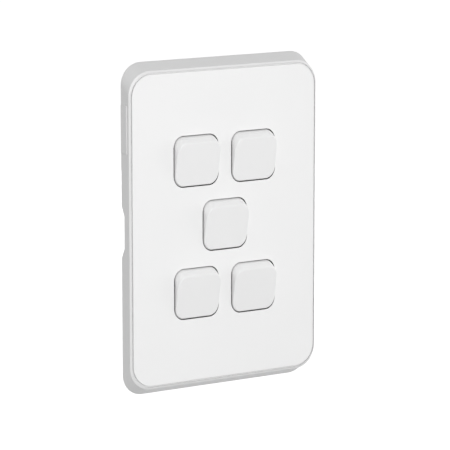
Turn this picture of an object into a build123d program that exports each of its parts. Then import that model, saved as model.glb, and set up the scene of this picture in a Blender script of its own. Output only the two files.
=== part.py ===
"""Five-gang wall switch plate, modelled in millimetres.

X runs to the right, Z runs up and the front of the plate looks along -Y. The origin is the middle of the
plane where the plate meets the wall. Every rocker is modelled as it stands in its first position, with its
top edge out and its bottom edge pressed in.
"""

from build123d import *
from math import cos, radians, sin, sqrt, tan
import os

# Driving dimensions of the plate
face_width = 76.5
face_height = 112.0
face_corner = 7.8
plate_depth = 6.0
plate_corner = 8.4
foot_corner = 7.8
side_margin = 1.05
lip_margin = 1.25
foot_margin = 4.0

# Front cover
cover_thickness = 1.5
groove_width = 0.5
groove_depth = 0.6
lip_top_depth = 0.1
lip_edge_depth = 0.6
lip_land = 0.3
cover_plug_inset = 0.8
cover_edge_break = 0.15
cover_fit = 0.1

# Surround
surround_wall = 1.6
flange_thickness = 1.0
flange_reach = 2.4
lever_slot_length = 18.7
lever_slot_floor = 11.5
lever_slot_depth = 1.9
side_pad_length = 17.2
side_pad_width = 4.1
side_pad_rise = 0.3
side_pad_height = 36.8
side_pad_from_wall = 0.2
rib_thickness = 0.8
rib_pitch = 12.0
ribs_per_edge = 5

# Grid plate and its screws
grid_thickness = 2.5
grid_side_fit = 0.3
grid_end_fit = 1.25
grid_corner = 6.0
screw_centres = 84.0
screw_slot_length = 7.0
screw_slot_width = 4.2
head_recess_depth = 1.0
head_recess_fit = 0.35
mounting_head_radius = 3.4
mounting_head_height = 2.0
mounting_neck_radius = 1.38
mounting_neck_end = 0.5
mounting_thread_radius = 1.75
mounting_thread_end = 23.5
recess_width = 0.9
recess_depth = 1.1
recess_share = 0.6
stand_pad_size = 2.6

# Snap hooks of the cover and of the surround
hook_width = 5.0
hook_thickness = 0.9
hook_barb = 0.6
hook_barb_length = 0.8
hook_fit = 0.15
side_hook_share = 0.62

# Places of the five switches: column and row, counted in pitches from the middle of the plate
switch_gap = 2.0
switch_places = ((-0.5, 1), (0.5, 1), (0, 0), (-0.5, -1), (0.5, -1))

# Rocker: a slice of a rounded drum that turns about its own axis
rocker_width = 18.0
rocker_radius = 9.59
rocker_corner = 3.6
rocker_proud = 1.72
rocker_gap = 0.4
rocker_tilt = 10.0
rocker_edge_radius = 0.6
pivot_depth = 3.65
cap_wall = 1.3
cap_skirt_level = 1.35
cap_cavity_width = 15.0
cap_cavity_height = 13.6
cap_cavity_corner = 2.4
cap_fit = 0.08
plug_height = 2.0
carrier_rear_level = 1.6
pin_radius = 1.1
pin_length = 1.4
pin_fit = 0.05
stem_radius = 2.7
stem_length = 6.75
stem_bore_radius = 1.75

# Plunger and its spring
plunger_radius = 1.65
plunger_length = 5.2
plunger_stand_out = 0.45
plunger_gap = 0.08
spring_wire = 0.36
spring_turns = 5
spring_fit = 0.12

# Switch housing
housing_side_wall = 1.25
housing_end_wall = 1.16
housing_corner = 1.0
housing_fit = 0.15
rocker_side_room = 0.25
housing_front_room = 0.2
housing_rear = 15.0
housing_flange_rim = 1.0
housing_flange_rise = 0.7
housing_flange_thickness = 1.0
latch_width = 8.0
latch_rise = 0.6
latch_length = 2.2
latch_seat_depth = 1.0
latch_seat_fit = 0.3
latch_slit = 0.7
latch_slit_length = 7.0
stop_reach = 1.0
stop_thickness = 1.2
stop_width = 2.5
stop_room = 0.08

# Terminal base
base_skirt = 1.2
base_skirt_wall = 1.0
base_plug = 1.0
base_fit = 0.15
base_rear = 23.7
base_corner_cut = 2.2
nub_width = 4.0
nub_length = 0.7
nub_rise = 0.5
nub_fit = 0.1
base_core_width = 2.4
base_core_depth = 6.0
base_core_height = 14.0

# Contacts and terminals
contact_half_span = 5.2
contact_tip_radius = 1.1
contact_tip_end_radius = 0.6
contact_tip_height = 0.5
contact_gap = 0.1
seesaw_thickness = 0.8
seesaw_width = 4.4
seesaw_overhang = 1.2
knife_thickness = 1.0
knife_width = 4.0
knife_gap = 0.03
strip_thickness = 0.8
strip_width = 3.0
terminal_across = 5.0
terminal_up = 4.2
terminal_width = 5.4
terminal_above = 4.4
terminal_below = 2.8
terminal_front = 15.6
terminal_chamfer = 2.2
terminal_fit = 0.1
wire_radius = 1.6
wire_hole_radius = 1.9
clamp_screw_radius = 1.25
clamp_point_radius = 0.35
clamp_thread_fit = 0.05
clamp_hole_fit = 0.15
clamp_tip_room = 0.05
clamp_sink = 0.2
clamp_slot_width = 0.5
clamp_slot_depth = 0.8

# Sizes that follow from the driving dimensions
front = -plate_depth
plate_width = face_width + 2 * side_margin
lip_height = face_height + 2 * lip_margin
foot_height = face_height + 2 * foot_margin
lip_back = front + lip_edge_depth + lip_land
cover_back = front + cover_thickness
flange_back = cover_back + flange_thickness
grid_front = -grid_thickness
grid_width = plate_width - 2 * (surround_wall + grid_side_fit)
grid_height = lip_height - 2 * grid_end_fit
window_width = grid_width - 2 * flange_reach + 2 * grid_side_fit
window_height = lip_height - 2 * (surround_wall + flange_reach)
window_corner = plate_corner - flange_reach
pivot = front + pivot_depth
rocker_face_level = pivot_depth + rocker_proud
housing_front = cover_back + housing_front_room
housing_inner_width = rocker_width + 2 * rocker_side_room
housing_inner_height = 2 * (rocker_radius + rocker_side_room)
housing_width = housing_inner_width + 2 * housing_side_wall
housing_height = housing_inner_height + 2 * housing_end_wall
switch_pitch = housing_height + switch_gap
plunger_tip = pivot + carrier_rear_level + stem_length + plunger_radius + plunger_stand_out
seesaw_front = plunger_tip + plunger_gap
seesaw_pivot = seesaw_front + seesaw_thickness
base_front = housing_rear - base_plug
terminal_clamp_depth = base_rear - (housing_height / 2 - terminal_up)
terminal_rear = terminal_clamp_depth + terminal_above
clamp_start = (wire_radius + clamp_tip_room) * sqrt(2)
clamp_end = (2 * (base_rear - terminal_clamp_depth) - base_corner_cut) / sqrt(2) - clamp_sink
seesaw_swing = sin(radians(rocker_tilt)) * (contact_half_span + contact_tip_end_radius)
fixed_tip_front = seesaw_pivot + contact_tip_height * cos(radians(rocker_tilt)) + seesaw_swing + contact_gap


def slab(width, height, corner, y_front, y_back):
    """Rounded rectangle in X and Z, from one depth to another."""
    outline = Plane((0, y_back, 0), x_dir=(1, 0, 0), z_dir=(0, -1, 0)) * RectangleRounded(width, height, corner)
    return extrude(outline, amount=y_back - y_front)


def flare(front_size, y_front, back_size, y_back):
    """Straight walls between two rounded rectangles, each given as width, height and corner radius."""
    outlines = []
    for size, y in ((front_size, y_front), (back_size, y_back)):
        outlines.append(Plane((0, y, 0), x_dir=(1, 0, 0), z_dir=(0, -1, 0)) * RectangleRounded(*size))
    return loft(outlines, ruled=True)


def block(x, y, z):
    """Box given by its lowest and highest X, Y and Z."""
    centre = ((x[0] + x[1]) / 2, (y[0] + y[1]) / 2, (z[0] + z[1]) / 2)
    return Pos(*centre) * Box(x[1] - x[0], y[1] - y[0], z[1] - z[0])


def rod(radius, y_front, y_back, x=0.0, z=0.0):
    """Cylinder along Y."""
    return Pos(x, (y_front + y_back) / 2, z) * Rot(X=90) * Cylinder(radius, y_back - y_front)


def side_profile(points, x_low, x_high):
    """Prism along X on an outline in Y and Z."""
    outline = Plane((x_low, 0, 0), x_dir=(0, 1, 0), z_dir=(1, 0, 0)) * make_face(Polyline(*points, close=True))
    return extrude(outline, amount=x_high - x_low)


def drum(extra=0.0):
    """The rocker's turning shape about the X axis, grown by a clearance."""
    radius = rocker_radius + extra
    profile = Pos(0, radius / 2) * Rectangle(rocker_width + 2 * extra, radius)
    rim = profile.vertices().group_by(Axis.Y)[-1]
    return revolve(fillet(rim, rocker_corner + extra), Axis.X)


def at_switches(shape):
    """One copy of a shape at each switch's place."""
    return [Pos(column * switch_pitch, 0, row * switch_pitch) * shape for column, row in switch_places]


def hook_places():
    """Where the snap hooks stand: a turn about Y, the edge's half size and the place along it."""
    half_width = grid_width / 2
    half_height = grid_height / 2
    places = []
    for turn in (0, 180):
        for along in (-side_hook_share, side_hook_share):
            places.append((turn, half_width, along * half_height))
    for turn in (90, 270):
        places.append((turn, half_height, 0.0))
    return places


def make_cover():
    """White front cover: raised face, groove, bevelled lip, a plug into the surround and its hooks."""
    lip_size = (face_width + 2 * groove_width, face_height + 2 * groove_width, face_corner + groove_width)
    edge_size = (plate_width, lip_height, plate_corner)
    plug_corner = plate_corner - cover_plug_inset
    plug = (plate_width - 2 * cover_plug_inset, lip_height - 2 * cover_plug_inset, plug_corner)
    face = slab(face_width, face_height, face_corner, front, cover_back)
    face = chamfer(face.faces().sort_by(Axis.Y)[0].edges(), cover_edge_break)
    lip = flare(lip_size, front + lip_top_depth, edge_size, front + lip_edge_depth)
    land = slab(*edge_size, front + lip_edge_depth, lip_back)
    groove = slab(*lip_size, front, front + groove_depth) - slab(face_width, face_height, face_corner, front, lip_back)
    cover = lip + land - groove + face + slab(*plug, lip_back, cover_back)
    for opening in at_switches(Pos(0, pivot, 0) * drum(rocker_gap)):
        cover -= opening
    for turn, half, along in hook_places():
        cover += Rot(Y=turn) * cover_hook(half, along)
    return cover


def cover_hook(half, along):
    """Hook on the cover's back: an arm through the surround's flange, with a barb behind it."""
    arm_out = half - flange_reach / 2
    low = along + hook_width
    span = (low - hook_width / 2, low + hook_width / 2)
    arm = block((arm_out - hook_thickness, arm_out), (cover_back, flange_back + hook_barb_length), span)
    tip = flange_back + hook_barb_length
    outline = [
        (flange_back + hook_fit / 3, arm_out),
        (flange_back + hook_fit / 3, arm_out + hook_barb),
        (tip, arm_out + hook_barb / 3),
        (tip, arm_out),
    ]
    barb = Plane((0, 0, span[0]), x_dir=(0, 1, 0), z_dir=(0, 0, -1)) * make_face(Polyline(*outline, close=True))
    return arm + extrude(barb, amount=-hook_width)


def make_surround():
    """Grey surround: flared rim, flange under the cover, lever slot, side pad, ribs and hooks."""
    cavity_top = lip_height - 2 * surround_wall
    outer_slope = (foot_height - lip_height) / (0 - lip_back)
    cavity_front = cavity_top + outer_slope * (flange_back - lip_back)
    inner_width = plate_width - 2 * surround_wall
    inner_corner = plate_corner - surround_wall
    body = flare((plate_width, lip_height, plate_corner), lip_back, (plate_width, foot_height, foot_corner), 0)
    body -= flare(
        (inner_width, cavity_front, inner_corner), flange_back,
        (inner_width, foot_height - 2 * surround_wall, inner_corner), 0,
    )
    inset = cover_plug_inset - cover_fit
    seat = (plate_width - 2 * inset, lip_height - 2 * inset, plate_corner - inset)
    body -= slab(*seat, lip_back, cover_back)
    body -= slab(window_width, window_height, window_corner, cover_back, flange_back)
    body += side_pad()
    body -= lever_slot()
    for side in (-1, 1):
        for step in range(ribs_per_edge):
            x = (step - (ribs_per_edge - 1) / 2) * rib_pitch
            body += edge_rib(x, side)
    for turn, half, along in hook_places():
        body += Rot(Y=turn) * surround_hook(half, along)
        body -= Rot(Y=turn) * flange_slot(half, along)
    return body


def lever_slot():
    """Trapezoid notch in the left edge of the rim, where a screwdriver lifts the plate off the wall."""
    outline = [
        (0, -lever_slot_length / 2),
        (-lever_slot_depth, -lever_slot_floor / 2),
        (-lever_slot_depth, lever_slot_floor / 2),
        (0, lever_slot_length / 2),
    ]
    left = -plate_width / 2
    return side_profile(outline, left - side_pad_rise, left + surround_wall)


def side_pad():
    """Low blank pad on the left side of the rim, near its top."""
    left = -plate_width / 2
    back = -side_pad_from_wall
    z = (side_pad_height - side_pad_length / 2, side_pad_height + side_pad_length / 2)
    pad = block((left - side_pad_rise, left + surround_wall / 2), (back - side_pad_width, back), z)
    outer = pad.faces().sort_by(Axis.X)[0]
    return chamfer(outer.edges(), side_pad_rise / 2)


def edge_rib(x, side):
    """Rib between the flange and the sloping top or bottom wall, in front of the grid plate."""
    reach = grid_height / 2 + grid_side_fit
    wall = lip_height / 2 - surround_wall / 2
    z = sorted((side * (reach - flange_reach / 2), side * wall))
    return block((x - rib_thickness / 2, x + rib_thickness / 2), (flange_back, grid_front - hook_fit), z)


def surround_hook(half, along):
    """Hook that holds the surround on the edge of the grid plate."""
    span = (along - hook_width / 2, along + hook_width / 2)
    inner = half - hook_thickness - hook_barb
    tip = -hook_fit * 2
    arm = block((half - hook_thickness, half), (flange_back, tip), span)
    ledge = grid_front / 2
    outline = [
        (ledge + hook_fit / 3, half - hook_thickness),
        (ledge + hook_fit / 3, inner),
        (tip, inner + hook_barb / 2),
        (tip, half - hook_thickness),
    ]
    barb = Plane((0, 0, span[0]), x_dir=(0, 1, 0), z_dir=(0, 0, -1)) * make_face(Polyline(*outline, close=True))
    return arm + extrude(barb, amount=-hook_width)


def flange_slot(half, along):
    """Slot in the surround's flange for one of the cover's hooks."""
    arm_out = half - flange_reach / 2
    middle = along + hook_width
    z = (middle - hook_width / 2 - hook_fit, middle + hook_width / 2 + hook_fit)
    x = (arm_out - hook_thickness - hook_fit, arm_out + hook_fit)
    return block(x, (cover_back, flange_back), z)


def make_grid():
    """Grid plate: holds the five switches and is screwed to the wall box."""
    grid = slab(grid_width, grid_height, grid_corner, grid_front, 0)
    aperture = slab(
        housing_width + 2 * housing_fit, housing_height + 2 * housing_fit, housing_corner, grid_front, 0
    )
    edge = housing_height / 2
    reach = latch_width / 2 + latch_seat_fit
    for side in (0, 180):
        aperture += Rot(Y=side) * block(
            (-reach, reach), (-latch_seat_depth, 0), (edge, edge + latch_rise + latch_seat_fit)
        )
    for hole in at_switches(aperture):
        grid -= hole
    for side in (-1, 1):
        z = side * screw_centres / 2
        grid -= screw_slot(screw_slot_length, screw_slot_width, grid_front, 0, z)
        recess_width_z = 2 * (mounting_head_radius + head_recess_fit)
        recess_length = recess_width_z + screw_slot_length - screw_slot_width
        grid -= screw_slot(recess_length, recess_width_z, grid_front, grid_front + head_recess_depth, z)
    for turn, half, along in hook_places():
        grid -= Rot(Y=turn) * hook_notch(half, along)
        pad_x = (half - stand_pad_size, half)
        pad_z = (along - hook_width - stand_pad_size, along - hook_width)
        grid += Rot(Y=turn) * block(pad_x, (flange_back, grid_front), pad_z)
    return grid


def screw_slot(length, width, y_front, y_back, z):
    """Round-ended slot along X."""
    outline = Plane((0, y_back, z), x_dir=(1, 0, 0), z_dir=(0, -1, 0)) * SlotOverall(length, width)
    return extrude(outline, amount=y_back - y_front)


def hook_notch(half, along):
    """Notch in the grid plate's edge: the front half leaves a ledge for the hook's barb."""
    z = (along - hook_width / 2 - hook_fit, along + hook_width / 2 + hook_fit)
    arm = block((half - hook_thickness - hook_fit, half), (grid_front, 0), z)
    barb = block((half - hook_thickness - hook_barb - hook_fit, half), (grid_front / 2, 0), z)
    return arm + barb


def make_mounting_screws():
    """The two machine screws that hold the grid plate to the wall box, with smooth shanks."""
    seat = grid_front + head_recess_depth
    top = seat - mounting_head_height
    head = rod(mounting_head_radius, top, seat)
    head = chamfer(head.faces().sort_by(Axis.Y)[0].edges(), mounting_head_height / 4)
    screw = head + rod(mounting_neck_radius, seat, mounting_neck_end)
    screw += rod(mounting_thread_radius, mounting_neck_end, mounting_thread_end)
    reach = mounting_head_radius * recess_share
    half = recess_width / 2
    screw -= block((-reach, reach), (top, top + recess_depth), (-half, half))
    screw -= block((-half, half), (top, top + recess_depth), (-reach, reach))
    return [Pos(0, 0, side * screw_centres / 2) * screw for side in (1, -1)]


def tilted(shape):
    """A rocker's piece, built about the pivot with the face level, set at its first position."""
    return Pos(0, pivot, 0) * Rot(X=rocker_tilt) * shape


def make_rocker_cap():
    """Visible cap of a rocker: drum slice with a flat face, soft edge and a hollow back."""
    reach = rocker_radius
    cut = block((-rocker_width, rocker_width), (-rocker_face_level, -cap_skirt_level), (-reach, reach))
    cap = drum() & cut
    cap = fillet(cap.faces().sort_by(Axis.Y)[0].edges(), rocker_edge_radius)
    hollow = slab(
        cap_cavity_width, cap_cavity_height, cap_cavity_corner, cap_wall - rocker_face_level, -cap_skirt_level
    )
    return cap - hollow


def make_rocker_carrier():
    """Inner half of a rocker: drum slice with pivot pins, a plug for the cap and the stem."""
    reach = rocker_radius
    cut = block((-rocker_width, rocker_width), (-cap_skirt_level, carrier_rear_level), (-reach, reach))
    carrier = drum() & cut
    plug = slab(
        cap_cavity_width - 2 * cap_fit, cap_cavity_height - 2 * cap_fit, cap_cavity_corner - cap_fit,
        -cap_skirt_level - plug_height, -cap_skirt_level,
    )
    pin_reach = rocker_width / 2 + pin_length
    pins = Rot(Y=90) * Cylinder(pin_radius, 2 * pin_reach)
    stem_end = carrier_rear_level + stem_length
    carrier += plug + pins + rod(stem_radius, carrier_rear_level, stem_end)
    return carrier - rod(stem_bore_radius, 0, stem_end)


def make_plunger():
    """Round-ended plunger that presses on the seesaw contact."""
    tip = plunger_tip - pivot
    ball = tip - plunger_radius
    shank = rod(plunger_radius, tip - plunger_length, ball)
    return shank + Pos(0, ball, 0) * Sphere(plunger_radius)


def make_plunger_spring():
    """Compression spring between the stem's bore floor and the plunger, with a square wire."""
    length = plunger_tip - pivot - plunger_length
    rise = length - spring_wire
    coil_radius = stem_bore_radius - spring_fit - spring_wire / 2
    path = Helix(pitch=rise / spring_turns, height=rise, radius=coil_radius)
    section = Plane(path @ 0, x_dir=(1, 0, 0), z_dir=path % 0) * Rectangle(spring_wire, spring_wire)
    coil = sweep(section, path=path, is_frenet=True)
    return Rot(X=-90) * Pos(0, 0, spring_wire / 2) * coil


def make_housing():
    """Switch housing: a square tube with a front flange, bearing holes, latches and rocker stops."""
    outer = slab(housing_width, housing_height, housing_corner, housing_front, housing_rear)
    rim = 2 * housing_flange_rim
    rise = 2 * housing_flange_rise
    flange = slab(
        housing_width + rim, housing_height + rise, housing_corner,
        grid_front - housing_flange_thickness, grid_front,
    )
    inner_corner = housing_corner / 2
    housing = outer + flange
    housing -= slab(housing_inner_width, housing_inner_height, inner_corner, housing_front, housing_rear)
    bearing = Rot(Y=90) * Cylinder(pin_radius + pin_fit, housing_width)
    housing -= Pos(0, pivot, 0) * bearing
    for side in (0, 180):
        housing += Rot(Y=side) * (latch() + rocker_stop())
        housing -= Rot(Y=side) * latch_slits()
        housing -= Rot(Y=side) * nub_window()
    return housing


def latch():
    """Wedge on the housing's top or bottom wall that snaps behind the grid plate."""
    wall = housing_height / 2
    start = housing_fit / 2 - latch_seat_depth
    outline = [(start, wall - latch_rise / 2), (start, wall + latch_rise)]
    outline += [(start + latch_length, wall), (start + latch_length, wall - latch_rise / 2)]
    return side_profile(outline, -latch_width / 2, latch_width / 2)


def latch_slits():
    """Slit round three sides of the latch, so that its tongue can spring."""
    start = -latch_seat_depth - latch_slit
    y = (start, latch_slit_length)
    z = (housing_inner_height / 2 - stop_room, housing_height / 2)
    near = latch_width / 2
    far = near + latch_slit
    return block((-far, far), y, z) - block((-near, near), (-latch_seat_depth, latch_slit_length), z)


def stop_depth():
    """Depth of the rocker stops: just behind the carrier's rear edge at the end of its travel."""
    edge = sqrt(rocker_radius**2 - carrier_rear_level**2)
    turn = radians(rocker_tilt)
    return pivot + carrier_rear_level * cos(turn) + edge * sin(turn) + stop_room


def rocker_stop():
    """Two ledges inside the housing, beside the latch, where the rocker's rear edge lands."""
    y = (stop_depth(), stop_depth() + stop_thickness)
    inner = housing_inner_height / 2
    z = (inner - stop_reach, (housing_height / 2 + inner) / 2)
    near = latch_width / 2 + latch_slit + stop_room
    return block((near, near + stop_width), y, z) + block((-near - stop_width, -near), y, z)


def nub_window():
    """Window in the housing's side wall for the base's nub."""
    middle = base_front - base_skirt / 2
    y = (middle - nub_length / 2 - nub_fit, middle + nub_length / 2 + nub_fit)
    z = (-nub_width / 2 - nub_fit, nub_width / 2 + nub_fit)
    return block((housing_inner_width / 2, housing_width / 2), y, z)


def make_seesaw():
    """Rocking contact bar with a silver tip riveted at each end, built about its knife edge."""
    half = contact_half_span + seesaw_overhang
    x = (-seesaw_width / 2, seesaw_width / 2)
    bar = block(x, (-seesaw_thickness, 0), (-half, half))
    for side in (-1, 1):
        bar += contact_tip(0, side * contact_half_span)
    return Pos(0, seesaw_pivot, 0) * Rot(X=-rocker_tilt) * bar


def contact_tip(y, z, facing=1):
    """Cone-edged silver tip, standing out along +Y or, with facing -1, along -Y."""
    cone = Cone(contact_tip_radius, contact_tip_end_radius, contact_tip_height)
    lift = facing * contact_tip_height / 2
    return Pos(0, y + lift, z) * Rot(X=-90 * facing) * cone


def terminal_block():
    """Brass tunnel with a wire bore along Y and a clamp screw's hole at 45 degrees, at the top right."""
    low = terminal_up - terminal_below
    high = terminal_up + terminal_above
    outline = terminal_outline(low, high, terminal_front, terminal_rear, terminal_chamfer)
    x = (terminal_across - terminal_width / 2, terminal_across + terminal_width / 2)
    tunnel = side_profile(outline, *x)
    tunnel -= rod(wire_radius, terminal_front, terminal_rear, terminal_across, terminal_up)
    return tunnel - on_clamp_axis(clamp_screw_radius + clamp_thread_fit, 0, 2 * terminal_above)


def terminal_outline(low, high, y_front, y_back, cut):
    """Outline in Y and Z with the outer rear corner cut at 45 degrees."""
    return [(y_front, low), (y_back, low), (y_back, high - cut), (y_back - cut, high), (y_front, high)]


def on_clamp_axis(radius, start, end):
    """Cylinder on the clamp screw's axis, between two distances from the wire bore's axis."""
    place = Pos(terminal_across, terminal_clamp_depth, terminal_up) * Rot(X=-45)
    return place * Pos(0, 0, (start + end) / 2) * Cylinder(radius, end - start)


def make_common_terminal():
    """Centre terminal: knife-edged post under the seesaw, foot strip and brass tunnel."""
    half = knife_thickness / 2
    tip = seesaw_pivot + knife_gap
    foot = terminal_front
    outline = [(tip, 0), (tip + half, half), (foot, half), (foot, -half), (tip + half, -half)]
    post = side_profile(outline, -knife_width / 2, knife_width / 2)
    reach = terminal_across + strip_width / 2
    run = block((-reach, knife_width / 2), (base_front, foot), (-half, half))
    rise = block((-reach, strip_width - reach), (base_front, foot), (-half, terminal_up))
    return post + run + rise + mirror(terminal_block(), Plane.YZ)


def make_switched_terminal():
    """Outer terminal: silver tip on a contact arm, leg and brass tunnel."""
    back = fixed_tip_front + contact_tip_height
    reach = terminal_across + strip_width / 2
    high = terminal_up + terminal_above
    z = (contact_half_span - strip_width / 2, high)
    arm = block((-strip_width / 2, reach), (back, back + strip_thickness), z)
    leg = block((reach - strip_width, reach), (back, terminal_front + strip_thickness), (high - strip_thickness, high))
    return contact_tip(back, contact_half_span, -1) + arm + leg + terminal_block()


def half_turn(shape):
    """The same piece turned half a turn about the switch's own axis."""
    return Rot(Y=180) * shape


def make_clamp_screw():
    """Headless clamp screw with a cone point, backed off until the top right wire bore is clear."""
    place = Pos(terminal_across, terminal_clamp_depth, terminal_up) * Rot(X=-45)
    body = clamp_start + clamp_screw_radius - clamp_point_radius
    point = Cone(clamp_point_radius, clamp_screw_radius, body - clamp_start)
    screw = on_clamp_axis(clamp_screw_radius, body, clamp_end)
    screw += place * Pos(0, 0, (clamp_start + body) / 2) * point
    cut = Box(3 * clamp_screw_radius, clamp_slot_width, 2 * clamp_slot_depth)
    return screw - place * Pos(0, 0, clamp_end) * cut


def make_base():
    """Rear moulding: holds the three terminals, with wire holes in the back and screw holes at 45 degrees."""
    half_height = housing_height / 2
    cut = base_corner_cut
    outline = [
        (housing_rear, -half_height), (base_rear - cut, -half_height), (base_rear, -half_height + cut),
        (base_rear, half_height - cut), (base_rear - cut, half_height), (housing_rear, half_height),
    ]
    base = side_profile(outline, -housing_width / 2, housing_width / 2)
    plug_width = housing_inner_width - 2 * base_fit
    plug_height_z = housing_inner_height - 2 * base_fit
    plug_corner = housing_corner / 2
    base += slab(plug_width, plug_height_z, plug_corner, base_front, housing_rear)
    skirt = slab(plug_width, plug_height_z, plug_corner, base_front - base_skirt, base_front)
    skirt -= block(
        (base_skirt_wall - plug_width / 2, plug_width / 2 - base_skirt_wall),
        (base_front - base_skirt, base_front),
        (base_skirt_wall - plug_height_z / 2, plug_height_z / 2 - base_skirt_wall),
    )
    base += skirt
    for side in (0, 180):
        base += Rot(Y=side) * base_nub(plug_width / 2)
    pocket = terminal_pocket()
    for piece in (pocket, mirror(pocket, Plane.YZ), half_turn(pocket)):
        base -= piece
    half = knife_thickness / 2 + terminal_fit
    reach = terminal_across + strip_width / 2 + terminal_fit
    channel = (base_front, terminal_front)
    base -= block((-reach, knife_width / 2 + terminal_fit), channel, (-half, half))
    base -= block((-reach, strip_width - reach + 2 * terminal_fit), channel, (-half, terminal_up))
    base -= block(
        (-base_core_width / 2, base_core_width / 2),
        (base_rear - base_core_depth, base_rear),
        (-base_core_height / 2, base_core_height / 2),
    )
    return base


def base_nub(plug_side):
    """Nub on the base's skirt that snaps into the housing's window."""
    middle = base_front - base_skirt / 2
    y = (middle - nub_length / 2, middle + nub_length / 2)
    x = (plug_side - base_skirt_wall / 2, plug_side + base_fit + nub_rise)
    return block(x, y, (-nub_width / 2, nub_width / 2))


def terminal_pocket():
    """Room for the top right terminal in the base, with its wire hole and screw hole."""
    low = terminal_up - terminal_below - terminal_fit
    high = terminal_up + terminal_above + terminal_fit
    rear = terminal_rear + terminal_fit
    outline = terminal_outline(low, high, base_front, rear, terminal_chamfer)
    half = terminal_width / 2 + terminal_fit
    room = side_profile(outline, terminal_across - half, terminal_across + half)
    room += rod(wire_hole_radius, terminal_rear, base_rear, terminal_across, terminal_up)
    return room + on_clamp_axis(clamp_screw_radius + clamp_hole_fit, terminal_above / 2, 2 * clamp_end)


def clean_solids(shape):
    """The solids of a result as a plain list."""
    return list(shape.solids()) if hasattr(shape, "solids") else [shape]


def write(name, *shapes):
    """Write one sub-part file from one or more separate solids."""
    solids = []
    for shape in shapes:
        solids.extend(clean_solids(shape))
    shape = solids[0] if len(solids) == 1 else Compound(children=solids)
    export_step(shape, f"parts/{name}.step")


os.makedirs("parts", exist_ok=True)

write("front_cover", make_cover())
write("surround", make_surround())
write("grid_plate", make_grid())
write("mounting_screws", *make_mounting_screws())

switched = make_switched_terminal()
clamp_screw = make_clamp_screw()
switch_pieces = {
    "rocker_cap": tilted(make_rocker_cap()),
    "rocker_carrier": tilted(make_rocker_carrier()),
    "plunger": tilted(make_plunger()),
    "plunger_spring": tilted(make_plunger_spring()),
    "switch_housing": make_housing(),
    "terminal_base": make_base(),
    "seesaw_contact": make_seesaw(),
    "common_terminal": make_common_terminal(),
    "upper_terminal": switched,
    "lower_terminal": half_turn(switched),
}
for name, piece in switch_pieces.items():
    for number, copy in enumerate(at_switches(piece), start=1):
        write(f"{name}_{number}", copy)

clamp_screws = []
for screw in (clamp_screw, mirror(clamp_screw, Plane.YZ), half_turn(clamp_screw)):
    clamp_screws.extend(at_switches(screw))
write("clamp_screws", *clamp_screws)
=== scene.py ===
import math

import bmesh
import bpy
from mathutils import Matrix, Vector


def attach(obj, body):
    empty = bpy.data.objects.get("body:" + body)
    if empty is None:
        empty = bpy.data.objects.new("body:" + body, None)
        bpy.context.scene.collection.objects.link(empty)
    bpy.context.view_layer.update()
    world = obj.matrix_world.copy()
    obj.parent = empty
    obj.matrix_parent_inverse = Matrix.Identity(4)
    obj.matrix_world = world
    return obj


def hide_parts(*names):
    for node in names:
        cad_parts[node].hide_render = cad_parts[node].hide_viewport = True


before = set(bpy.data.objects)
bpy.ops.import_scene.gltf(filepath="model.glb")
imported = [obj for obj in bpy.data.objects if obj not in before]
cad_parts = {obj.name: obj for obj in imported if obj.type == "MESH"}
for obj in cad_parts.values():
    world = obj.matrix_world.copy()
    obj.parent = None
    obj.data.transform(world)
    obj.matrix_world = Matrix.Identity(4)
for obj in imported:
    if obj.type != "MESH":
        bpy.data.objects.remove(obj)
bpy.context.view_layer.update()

MM = 0.001

# Places of the switches by number, in pitches across and up from the plate's middle
SWITCH_PLACES = {1: (-0.5, 1), 2: (0.5, 1), 3: (0, 0), 4: (-0.5, -1), 5: (0.5, -1)}
# The pitch and the places of the fixing screws and clamp screws, in millimetres, as the solids have them
SWITCH_PITCH = 24.0
FIXING_UP, FIXING_START = 42.0, 0.5
CLAMP_ACROSS, CLAMP_UP, CLAMP_BACK = 5.0, 4.2, 16.9
# Corners of a switch that have a clamp screw, across and up, and the screws' lean up or down in degrees
CLAMP_CORNERS = ((1, 1), (-1, 1), (-1, -1))
CLAMP_LEAN = 45.0

# Threads, in millimetres: their radii and pitch, and where along the screw they start and how long they are
FIXING_THREAD = {"Root radius": 1.38, "Crest radius": 1.74, "Pitch": 0.6, "Start": 0.4, "Length": 22.2}
CLAMP_THREAD = {"Root radius": 0.98, "Crest radius": 1.24, "Pitch": 0.45, "Start": 3.5, "Length": 4.05}
# Steps in one turn of a thread or spring, and sides of the spring's round wire
TURN_STEPS = 24
WIRE_SIDES = 12

# Spring behind each rocker, in millimetres: it stands on the rocker's hinge line and leans with it
ROCKER_PIVOT = -2.35
SPRING_SIZES = {"Wire radius": 0.18, "Coil radius": 1.45, "Rise": 4.89, "Turns": 6}
# A rocker's tilt at rest, in degrees
ROCKER_TILT = 10.0

# Points closer than this are one, and how far past the crest a shank's own points may lie, in millimetres
MERGE, SHANK_SLACK = 0.0005, 0.1
# Corners sharper than this stay sharp on the screws and springs
SMOOTH_ANGLE = math.radians(35)

# How far a gap's shade reaches, in millimetres, how open to the room it starts at, and the tone it ends at
GAP_REACH, GAP_CLOSED, GAP_TONE = 2.2, 0.28, 0.0
# Y of a surface's direction where it counts as the face, and where it counts as a bevel or wall that gets
# painted shade
FACE_NORMAL, WALL_NORMAL = -0.97, -0.87
# Edge radius that moulded plastic keeps where the solids are sharp, in millimetres
EDGE_RADIUS = 0.08
# Rays that look for a gap and for an edge
GAP_SAMPLES, EDGE_SAMPLES = 8, 4
# Plastics such as these have 1.48 to 1.59, and the low end gives the weak gloss of the photograph
PLASTIC_IOR = 1.49
# Size of the cloudy patches on metal, in millimetres
METAL_PATCH = 3.0
# How far grain takes the roughness of plastic down and up, and how far marks take that of metal down, and up
PLASTIC_SWING, METAL_DOWN, METAL_UP = 0.04, 0.06, 0.08

# Nearly all of a noise lies between these values
NOISE_LOW, NOISE_HIGH = 0.3, 0.7
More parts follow.
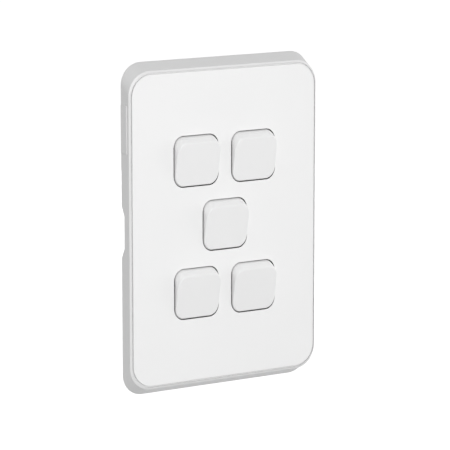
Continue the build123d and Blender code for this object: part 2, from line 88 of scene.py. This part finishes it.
# Sockets of a Mix node that mixes colours, by number because their names repeat
MIX_BY, MIX_FIRST, MIX_SECOND, MIX_RESULT = 0, 6, 7, 2

WHITE = (1.0, 1.0, 1.0, 1.0)


def srgb(code):
    """A colour written as six hex digits, as the linear colour that Blender works with."""
    parts = [int(code[i : i + 2], 16) / 255 for i in (1, 3, 5)]
    linear = [c / 12.92 if c <= 0.04045 else ((c + 0.055) / 1.055) ** 2.4 for c in parts]
    return (*linear, 1.0)


def add(tree, kind, settings=None, inputs=None):
    """Adds a node with its settings. Each input is a plain value or the socket that feeds it."""
    node = tree.nodes.new(kind)
    for name, value in (settings or {}).items():
        setattr(node, name, value)
    for name, value in (inputs or {}).items():
        if isinstance(value, bpy.types.NodeSocket):
            tree.links.new(value, node.inputs[name])
        else:
            node.inputs[name].default_value = value
    return node


def new_object(name, data):
    """An object that shows this data, put in the scene."""
    made = bpy.data.objects.new(name, data)
    bpy.context.scene.collection.objects.link(made)
    return made


def start_material(name):
    """A new material with an empty tree."""
    material = bpy.data.materials.new(name)
    material.use_nodes = True
    material.node_tree.nodes.clear()
    return material, material.node_tree


def noise_on_piece(tree, size_mm, detail, stretch=(1, 1, 1), roughness=0.5):
    """Noise in the piece's own coordinates, size_mm across, and longer along an axis stretched below 1."""
    scale = [along / (size_mm * MM) for along in stretch]
    piece = add(tree, "ShaderNodeTexCoord").outputs["Object"]
    place = add(tree, "ShaderNodeMapping", {}, {"Vector": piece, "Scale": scale})
    noise = add(tree, "ShaderNodeTexNoise", {}, {
        "Vector": place.outputs[0], "Scale": 1.0, "Detail": detail, "Roughness": roughness,
    })
    return noise.outputs["Fac"]


def two_tones(tree, noise, dark, light):
    """Colour that a noise drifts between two hex colours."""
    tone = add(tree, "ShaderNodeMapRange", {}, {
        "Value": noise, "From Min": NOISE_LOW, "From Max": NOISE_HIGH,
    })
    colour = add(tree, "ShaderNodeMix", {"data_type": "RGBA"}, {
        MIX_BY: tone.outputs[0], MIX_FIRST: srgb(dark), MIX_SECOND: srgb(light),
    })
    return colour.outputs[MIX_RESULT]


def moulded_plastic(name, dark, light, roughness, grain_mm, grain_depth_mm, flow_mm=30.0, wall_shade_tone=1.0):
    """Moulded plastic: a slow drift in tone along the flow, fine even grain, soft edges, and painted shade
    that darkens narrow gaps.
    Surfaces that don't face the front are darkened by the wall factor, as painted shade on bevels and walls.
    A tool's real grain is a few hundredths of a millimetre, and is drawn coarser to break up the gloss."""
    material, tree = start_material(name)
    colour = two_tones(tree, noise_on_piece(tree, flow_mm, detail=1.0), dark, light)
    # Painted shade: the colour darkens in narrow gaps and recesses, down to the gap tone where they are most
    # closed
    openness = add(tree, "ShaderNodeAmbientOcclusion", {"samples": GAP_SAMPLES}, {
        "Distance": GAP_REACH * MM,
    })
    shade = add(tree, "ShaderNodeMapRange", {}, {
        "Value": openness.outputs["AO"], "From Min": 0.0, "From Max": GAP_CLOSED,
        "To Min": GAP_TONE, "To Max": 1.0,
    })
    shaded = add(tree, "ShaderNodeMix", {"data_type": "RGBA", "blend_type": "MULTIPLY"}, {
        MIX_BY: 1.0, MIX_FIRST: colour, MIX_SECOND: shade.outputs[0],
    })
    # Painted shade: surfaces that don't face the front are darkened by the wall factor
    geometry = add(tree, "ShaderNodeNewGeometry")
    facing = add(tree, "ShaderNodeSeparateXYZ", {}, {"Vector": geometry.outputs["True Normal"]})
    wall = add(tree, "ShaderNodeMapRange", {}, {
        "Value": facing.outputs["Y"], "From Min": FACE_NORMAL, "From Max": WALL_NORMAL,
        "To Min": 1.0, "To Max": wall_shade_tone,
    })
    wall_shaded = add(tree, "ShaderNodeMix", {"data_type": "RGBA", "blend_type": "MULTIPLY"}, {
        MIX_BY: 1.0, MIX_FIRST: shaded.outputs[MIX_RESULT], MIX_SECOND: wall.outputs[0],
    })
    grain = noise_on_piece(tree, grain_mm, detail=3.0, roughness=0.6)
    satin = add(tree, "ShaderNodeMapRange", {}, {
        "Value": grain, "From Min": NOISE_LOW, "From Max": NOISE_HIGH,
        "To Min": roughness - PLASTIC_SWING, "To Max": roughness + PLASTIC_SWING,
    })
    soft_edge = add(tree, "ShaderNodeBevel", {"samples": EDGE_SAMPLES}, {"Radius": EDGE_RADIUS * MM})
    bump = add(tree, "ShaderNodeBump", {}, {
        "Strength": 1.0, "Distance": grain_depth_mm * MM, "Height": grain, "Normal": soft_edge.outputs[0],
    })
    surface = add(tree, "ShaderNodeBsdfPrincipled", {}, {
        "Base Color": wall_shaded.outputs[MIX_RESULT], "Roughness": satin.outputs[0],
        "IOR": PLASTIC_IOR, "Normal": bump.outputs[0],
    })
    add(tree, "ShaderNodeOutputMaterial", {}, {"Surface": surface.outputs[0]})
    return material


def worked_metal(name, dark, light, roughness, mark_mm, stretch, mark_depth_mm):
    """Bare or plated metal: a slightly uneven tone, and working marks along an axis whose stretch is below 1.
    Real marks are about a hundredth of a millimetre wide, and are drawn coarser to break up the gloss."""
    material, tree = start_material(name)
    colour = two_tones(tree, noise_on_piece(tree, METAL_PATCH, detail=3.0), dark, light)
    marks = noise_on_piece(tree, mark_mm, detail=2.0, stretch=stretch)
    satin = add(tree, "ShaderNodeMapRange", {}, {
        "Value": marks, "From Min": NOISE_LOW, "From Max": NOISE_HIGH,
        "To Min": roughness - METAL_DOWN, "To Max": roughness + METAL_UP,
    })
    bump = add(tree, "ShaderNodeBump", {}, {
        "Strength": 1.0, "Distance": mark_depth_mm * MM, "Height": marks,
    })
    surface = add(tree, "ShaderNodeBsdfPrincipled", {}, {
        "Base Color": colour, "Roughness": satin.outputs[0],
        "Metallic": 1.0, "Normal": bump.outputs[0],
    })
    add(tree, "ShaderNodeOutputMaterial", {}, {"Surface": surface.outputs[0]})
    return material


# Polycarbonate moulded in a spark-eroded tool: an even white satin with no visible grain at arm's length, and
# painted shade on its bevels and walls
COVER = moulded_plastic(
    "moulded_polycarbonate_satin_white", "#efefef", "#f0f0f0",
    roughness=0.42, grain_mm=0.22, grain_depth_mm=0.0012, wall_shade_tone=0.9,
)
# The same plastic from a finer tool, as fingers meet it: a little smoother, and a shade less bright as
# painted shade
ROCKER = moulded_plastic(
    "moulded_polycarbonate_rocker_white", "#ebebeb", "#ececec",
    roughness=0.36, grain_mm=0.16, grain_depth_mm=0.0008,
)
# Polycarbonate with a grey pigment: a flat neutral grey, a little rougher, so that it doesn't draw the eye
SURROUND = moulded_plastic(
    "moulded_polycarbonate_light_grey", "#dadada", "#dbdbdb",
    roughness=0.45, grain_mm=0.22, grain_depth_mm=0.0014,
)
# ABS of a hidden part, straight from the tool: a warm off-white with faint flow tones and a coarser grain
GRID = moulded_plastic(
    "moulded_abs_off_white", "#dcdcd6", "#e0e0db",
    roughness=0.5, grain_mm=0.3, grain_depth_mm=0.002,
)
# Nylon: a milky, slightly warm white whose surface is a little uneven where it shrank
HOUSING = moulded_plastic(
    "moulded_nylon_white", "#e4e4df", "#e9e9e5",
    roughness=0.45, grain_mm=0.35, grain_depth_mm=0.0018,
)
# Thermoset pressed from powder: a dull mid grey with fine mottling
BASE = moulded_plastic(
    "pressed_thermoset_grey", "#8f9294", "#96999b",
    roughness=0.5, grain_mm=0.3, grain_depth_mm=0.002, flow_mm=4.0,
)
# Acetal with no pigment: a smooth, faintly yellow white
ACETAL = moulded_plastic(
    "moulded_acetal_natural", "#e6e2d2", "#ebe8da",
    roughness=0.35, grain_mm=0.3, grain_depth_mm=0.001,
)
# Brass drawn as bar and sawn: a warm yellow, with fine lines along the bar
BRASS = worked_metal(
    "drawn_brass", "#c9a35c", "#d2ae69",
    roughness=0.3, mark_mm=0.08, stretch=(1, 0.12, 1), mark_depth_mm=0.0008,
)
# Copper rolled as strip and stamped: a pink brown with fine lines along the strip
COPPER = worked_metal(
    "rolled_copper", "#c27d58", "#ca8762",
    roughness=0.32, mark_mm=0.06, stretch=(1, 1, 0.1), mark_depth_mm=0.0006,
)
# Spring steel wire drawn through a die: a clean darker grey, shiny, with hardly any marks
SPRING = worked_metal(
    "drawn_spring_steel", "#9b9c9e", "#a6a7a9",
    roughness=0.3, mark_mm=0.05, stretch=(1, 1, 1), mark_depth_mm=0.0004,
)
# Steel with bright zinc plating: a cool silver, slightly cloudy, with the fine pits of the bath
ZINC = worked_metal(
    "zinc_plated_steel", "#b2b6bb", "#bec2c6",
    roughness=0.3, mark_mm=0.12, stretch=(1, 1, 1), mark_depth_mm=0.0006,
)

# The screws and springs aren't here, because they are made below with their finish
FINISH = {
    "front_cover": COVER,
    "surround": SURROUND,
    "grid_plate": GRID,
}
SWITCH_FINISH = {
    "rocker_cap": ROCKER,
    "rocker_carrier": HOUSING,
    "plunger": ACETAL,
    "switch_housing": HOUSING,
    "terminal_base": BASE,
    "seesaw_contact": COPPER,
    "common_terminal": BRASS,
    "upper_terminal": BRASS,
    "lower_terminal": BRASS,
}
for kind, material in SWITCH_FINISH.items():
    for number in SWITCH_PLACES:
        FINISH[f"{kind}_{number}"] = material
for node, material in FINISH.items():
    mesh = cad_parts[node].data
    mesh.materials.clear()
    mesh.materials.append(material)


def start_growth(name, sizes, result):
    """A Geometry Nodes tree that grows a shape on points, its feet, and the sockets that give its inputs."""
    tree = bpy.data.node_groups.new(name, "GeometryNodeTree")
    for socket, kind in {"Feet": "Geometry", **sizes, "Finish": "Material"}.items():
        tree.interface.new_socket(name=socket, in_out="INPUT", socket_type=f"NodeSocket{kind}")
    tree.interface.new_socket(name=result, in_out="OUTPUT", socket_type="NodeSocketGeometry")
    return tree, add(tree, "NodeGroupInput").outputs


def set_on_feet(tree, given, shape):
    """A copy of a shape on every foot, turned as the foot says."""
    turn = add(tree, "GeometryNodeInputNamedAttribute", {"data_type": "FLOAT_VECTOR"}, {"Name": "turn"})
    copies = add(tree, "GeometryNodeInstanceOnPoints", {}, {
        "Points": given["Feet"], "Instance": shape, "Rotation": turn.outputs["Attribute"],
    })
    return copies.outputs[0]


def end_growth(tree, given, copies, result):
    """Ends a tree: the copies are made real and get their finish."""
    real = add(tree, "GeometryNodeRealizeInstances", {}, {"Geometry": copies})
    finished = add(tree, "GeometryNodeSetMaterial", {}, {
        "Geometry": real.outputs[0], "Material": given["Finish"],
    })
    add(tree, "NodeGroupOutput", {}, {result: finished.outputs[0]})


def thread_tree():
    """Geometry Nodes: a helical ridge wound on every foot, joined to the screws' shanks."""
    sizes = {"Shanks": "Object", **{size: "Float" for size in FIXING_THREAD}}
    tree, given = start_growth("wound_threads", sizes, "Screws")
    turns = add(tree, "ShaderNodeMath", {"operation": "DIVIDE"}, {0: given["Length"], 1: given["Pitch"]})
    height = add(tree, "ShaderNodeMath", {"operation": "SUBTRACT"}, {
        0: given["Crest radius"], 1: given["Root radius"],
    })
    across = add(tree, "ShaderNodeMath", {"operation": "MULTIPLY"}, {0: height.outputs[0], 1: 2.0})
    half_pitch = add(tree, "ShaderNodeMath", {"operation": "MULTIPLY"}, {0: given["Pitch"], 1: 0.5})
    path = add(tree, "GeometryNodeCurveSpiral", {}, {
        "Resolution": TURN_STEPS, "Rotations": turns.outputs[0], "Height": given["Length"],
        "Start Radius": given["Root radius"], "End Radius": given["Root radius"],
    })
    upright = add(tree, "GeometryNodeSetCurveNormal", {"mode": "Z_UP"}, {"Curve": path.outputs[0]})
    # A diamond whose inner half lies inside the shank, its width across the screw and its heights along it
    section = add(tree, "GeometryNodeCurvePrimitiveQuadrilateral", {"mode": "KITE"}, {
        "Width": across.outputs[0],
        "Bottom Height": half_pitch.outputs[0], "Top Height": half_pitch.outputs[0],
    })
    ridge = add(tree, "GeometryNodeCurveToMesh", {}, {
        "Curve": upright.outputs[0], "Profile Curve": section.outputs[0], "Fill Caps": True,
    })
    lift = add(tree, "ShaderNodeCombineXYZ", {}, {"Z": given["Start"]})
    raised = add(tree, "GeometryNodeTransform", {}, {
        "Geometry": ridge.outputs[0], "Translation": lift.outputs[0],
    })
    shanks = add(tree, "GeometryNodeObjectInfo", {}, {"Object": given["Shanks"]})
    ridges = set_on_feet(tree, given, raised.outputs[0])
    whole = add(tree, "GeometryNodeJoinGeometry", {}, {"Geometry": ridges})
    tree.links.new(shanks.outputs["Geometry"], whole.inputs["Geometry"])
    end_growth(tree, given, whole.outputs[0], "Screws")
    return tree


def spring_tree():
    """Geometry Nodes: round wire wound as a compression spring on every foot, with its end turns closed."""
    sizes = {size: "Float" for size in SPRING_SIZES} | {"Turns": "Int"}
    tree, given = start_growth("wound_spring", sizes, "Springs")
    path = add(tree, "GeometryNodeCurveSpiral", {}, {
        "Resolution": TURN_STEPS, "Rotations": given["Turns"], "Height": given["Rise"],
        "Start Radius": given["Coil radius"], "End Radius": given["Coil radius"],
    })
    # The wire hardly climbs in its first and last turn, which closes them, and its underside is on the foot
    along = add(tree, "GeometryNodeSplineParameter")
    climb = add(tree, "ShaderNodeMapRange", {"interpolation_type": "SMOOTHSTEP"}, {
        "Value": along.outputs["Factor"], "To Max": given["Rise"],
    })
    level = add(tree, "ShaderNodeMath", {"operation": "ADD"}, {0: climb.outputs[0], 1: given["Wire radius"]})
    position = add(tree, "GeometryNodeInputPosition")
    flat = add(tree, "ShaderNodeSeparateXYZ", {}, {"Vector": position.outputs[0]})
    place = add(tree, "ShaderNodeCombineXYZ", {}, {
        "X": flat.outputs["X"], "Y": flat.outputs["Y"], "Z": level.outputs[0],
    })
    coil = add(tree, "GeometryNodeSetPosition", {}, {
        "Geometry": path.outputs[0], "Position": place.outputs[0],
    })
    section = add(tree, "GeometryNodeCurvePrimitiveCircle", {"mode": "RADIUS"}, {
        "Resolution": WIRE_SIDES, "Radius": given["Wire radius"],
    })
    wire = add(tree, "GeometryNodeCurveToMesh", {}, {
        "Curve": coil.outputs[0], "Profile Curve": section.outputs[0], "Fill Caps": True,
    })
    end_growth(tree, given, set_on_feet(tree, given, wire.outputs[0]), "Springs")
    return tree


def draw_in_shanks(node, feet, thread):
    """A merged copy of a screw node as a new object, its smooth shanks drawn in to the root of the thread."""
    root, crest = thread["Root radius"] * MM, thread["Crest radius"] * MM
    work = bmesh.new()
    work.from_mesh(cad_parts[node].data)
    bmesh.ops.remove_doubles(work, verts=work.verts, dist=MERGE * MM)
    for vertex in work.verts:
        for foot, turn in feet:
            axis = turn @ Vector((0, 0, 1))
            offset = vertex.co - foot
            along = offset.dot(axis)
            out = offset - axis * along
            if along > -MERGE * MM and root < out.length < crest + SHANK_SLACK * MM:
                vertex.co -= out * (1 - root / out.length)
    bmesh.ops.remove_doubles(work, verts=work.verts, dist=MERGE * MM)
    bmesh.ops.dissolve_degenerate(work, edges=work.edges, dist=MERGE * MM)
    mesh = bpy.data.meshes.new(f"{node}_shanks")
    work.to_mesh(mesh)
    work.free()
    return new_object(mesh.name, mesh)


def grow(tree, name, feet, given):
    """Runs a tree on one point for each foot, and returns what it grows as one plain piece.
    Sizes are floats in millimetres, and counts, objects and finishes go in as they are."""
    points = bpy.data.meshes.new(f"{name}_feet")
    points.from_pydata([foot for foot, turn in feet], [], [])
    turns = points.attributes.new("turn", "FLOAT_VECTOR", "POINT")
    for item, (foot, turn) in zip(turns.data, feet):
        item.vector = turn.to_euler()
    piece = new_object(name, points)
    growth = piece.modifiers.new("grow", "NODES")
    growth.node_group = tree
    sockets = {item.name: item.identifier for item in tree.interface.items_tree if item.in_out == "INPUT"}
    for key, value in given.items():
        growth[sockets[key]] = value * MM if isinstance(value, float) else value
    grown = piece.evaluated_get(bpy.context.evaluated_depsgraph_get())
    mesh = bpy.data.meshes.new_from_object(grown)
    piece.modifiers.remove(growth)
    piece.data = mesh
    mesh.name = name
    bpy.data.meshes.remove(points)
    for spare in ("turn", "custom_normal"):
        if spare in mesh.attributes:
            mesh.attributes.remove(mesh.attributes[spare])
    mesh.shade_smooth()
    mesh.set_sharp_from_angle(angle=SMOOTH_ANGLE)
    return piece


def make_screws(node, name, feet, thread, tree):
    """Replaces a node of plain screws by copies with threads wound from each foot."""
    shanks = draw_in_shanks(node, feet, thread)
    screws = grow(tree, name, feet, {**thread, "Shanks": shanks, "Finish": ZINC})
    bpy.data.objects.remove(shanks)
    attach(screws, "plate")
    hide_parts(node)


def pointing_back(lean):
    """Turn that takes what stands upright to pointing into the wall, raised by a lean in degrees."""
    return Matrix.Rotation(math.radians(lean - 90), 3, "X")


threads = thread_tree()
fixing_feet = [
    (Vector((0, FIXING_START, side * FIXING_UP)) * MM, pointing_back(0)) for side in (1, -1)
]
make_screws("mounting_screws", "threaded_mounting_screws", fixing_feet, FIXING_THREAD, threads)

clamp_feet = []
for column, row in SWITCH_PLACES.values():
    for across, up in CLAMP_CORNERS:
        right, height = column * SWITCH_PITCH + across * CLAMP_ACROSS, row * SWITCH_PITCH + up * CLAMP_UP
        clamp_feet.append((Vector((right, CLAMP_BACK, height)) * MM, pointing_back(up * CLAMP_LEAN)))
make_screws("clamp_screws", "threaded_clamp_screws", clamp_feet, CLAMP_THREAD, threads)

coils = spring_tree()
for number, (column, row) in SWITCH_PLACES.items():
    foot = Vector((column * SWITCH_PITCH, ROCKER_PIVOT, row * SWITCH_PITCH)) * MM
    spring = grow(coils, f"round_wire_spring_{number}", [(foot, pointing_back(ROCKER_TILT))], {
        **SPRING_SIZES, "Finish": SPRING,
    })
    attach(spring, f"rocker_{number}")
    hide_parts(f"plunger_spring_{number}")


# Studio, in metres and watts. The floor is well below the plate, and it is seen from above only
FLOOR_LEVEL, FLOOR_HALF = -0.125, 3.0
# How strongly the floor shines to the camera, so that it reads as white round its shadow
FLOOR_GLOW = 0.75
# Strength of the white surroundings as fill light
FILL = 0.45
# Soft boxes: the way from the plate to each, its distance, its width and its power
SOFT_BOXES = {
    "key_softbox": ((-0.26, -0.90, 0.32), 0.8, 0.45, 3.42),
    "right_softbox": ((0.90, -0.30, 0.10), 0.8, 0.30, 1.1),
    "left_softbox": ((-1.00, 0.20, 0.10), 0.8, 0.45, 0.74),
    "back_softbox": ((0.35, 0.93, 0.00), 0.9, 0.60, 2.2),
}
# Camera as fitted to the photograph: how far it is round to the left, up and rolled, in degrees
CAMERA_LEFT, CAMERA_UP, CAMERA_ROLL = 31.96, 10.20, -0.03
# Its distance, and how far the plate's middle lies to the right of the picture's and above it
CAMERA_DISTANCE, CAMERA_ASIDE, CAMERA_ABOVE = 0.9861, -0.00321, 0.00129
# Its lens and sensor in millimetres, and the nearest and farthest that it sees in metres
CAMERA_LENS, CAMERA_SENSOR = 218.3, 36.0
CAMERA_NEAR, CAMERA_FAR = 0.01, 10.0


def looked_at(tree):
    """1 for what the camera or a reflection sees, and 0 for what only lights the plate."""
    rays = add(tree, "ShaderNodeLightPath").outputs
    either = add(tree, "ShaderNodeMath", {"operation": "MAXIMUM"}, {
        0: rays["Is Camera Ray"], 1: rays["Is Glossy Ray"],
    })
    return either.outputs[0]


def floor_material():
    """Pale floor that reads as white to the camera and in gloss, and still takes the plate's soft shadow."""
    material, tree = start_material("pale_floor")
    surface = add(tree, "ShaderNodeBsdfPrincipled", {}, {"Base Color": srgb("#c8c8c8"), "Roughness": 0.9})
    glow = add(tree, "ShaderNodeEmission", {}, {"Color": WHITE, "Strength": FLOOR_GLOW})
    lit = add(tree, "ShaderNodeAddShader", {}, {0: surface.outputs[0], 1: glow.outputs[0]})
    above = add(tree, "ShaderNodeMixShader", {}, {
        0: looked_at(tree), 1: surface.outputs[0], 2: lit.outputs[0],
    })
    below = add(tree, "ShaderNodeBsdfTransparent")
    side = add(tree, "ShaderNodeNewGeometry").outputs
    whole = add(tree, "ShaderNodeMixShader", {}, {
        0: side["Backfacing"], 1: above.outputs[0], 2: below.outputs[0],
    })
    add(tree, "ShaderNodeOutputMaterial", {}, {"Surface": whole.outputs[0]})
    return material


def make_floor():
    """Square floor with its middle under the plate."""
    mesh = bpy.data.meshes.new("floor")
    sides = ((-1, -1), (1, -1), (1, 1), (-1, 1))
    corners = [(x * FLOOR_HALF, y * FLOOR_HALF, FLOOR_LEVEL) for x, y in sides]
    mesh.from_pydata(corners, [], [(0, 1, 2, 3)])
    mesh.materials.append(floor_material())
    floor = new_object("floor", mesh)


def make_world():
    """Even white surroundings: full white to the camera and in gloss, softer as fill light."""
    world = bpy.data.worlds.new("studio")
    bpy.context.scene.world = world
    world.use_nodes = True
    tree = world.node_tree
    tree.nodes.clear()
    soft = add(tree, "ShaderNodeBackground", {}, {"Color": WHITE, "Strength": FILL})
    white = add(tree, "ShaderNodeBackground", {}, {"Color": WHITE, "Strength": 1.0})
    whole = add(tree, "ShaderNodeMixShader", {}, {
        0: looked_at(tree), 1: soft.outputs[0], 2: white.outputs[0],
    })
    add(tree, "ShaderNodeOutputWorld", {}, {"Surface": whole.outputs[0]})


def make_lamp(name, toward, distance, size, energy):
    """Square soft box that faces the plate's middle from a direction."""
    data = bpy.data.lights.new(name, "AREA")
    data.shape = "SQUARE"
    data.size = size
    data.energy = energy
    back = Vector(toward).normalized()
    lamp = new_object(name, data)
    lamp.location = back * distance
    lamp.rotation_mode = "QUATERNION"
    lamp.rotation_quaternion = (-back).to_track_quat("-Z", "Y")


def make_camera():
    """Long-lens camera to the plate's left and above it, aimed a little off the plate's middle."""
    left, rise, roll = (math.radians(angle) for angle in (CAMERA_LEFT, CAMERA_UP, CAMERA_ROLL))
    back = Vector((-math.sin(left) * math.cos(rise), -math.cos(left) * math.cos(rise), math.sin(rise)))
    level = Vector((0, 0, 1)).cross(back).normalized()
    upright = back.cross(level)
    right = level * math.cos(roll) + upright * math.sin(roll)
    up = upright * math.cos(roll) - level * math.sin(roll)
    data = bpy.data.cameras.new("camera")
    data.sensor_width = CAMERA_SENSOR
    data.lens = CAMERA_LENS
    data.clip_start = CAMERA_NEAR
    data.clip_end = CAMERA_FAR
    matrix = Matrix((right, up, back)).transposed().to_4x4()
    matrix.translation = back * CAMERA_DISTANCE - right * CAMERA_ASIDE - up * CAMERA_ABOVE
    camera = new_object("camera", data)
    camera.matrix_world = matrix
    bpy.context.scene.camera = camera


make_floor()
make_world()
for name, (toward, distance, size, energy) in SOFT_BOXES.items():
    make_lamp(name, toward, distance, size, energy)
make_camera()

bpy.context.scene.view_settings.view_transform = "Standard"
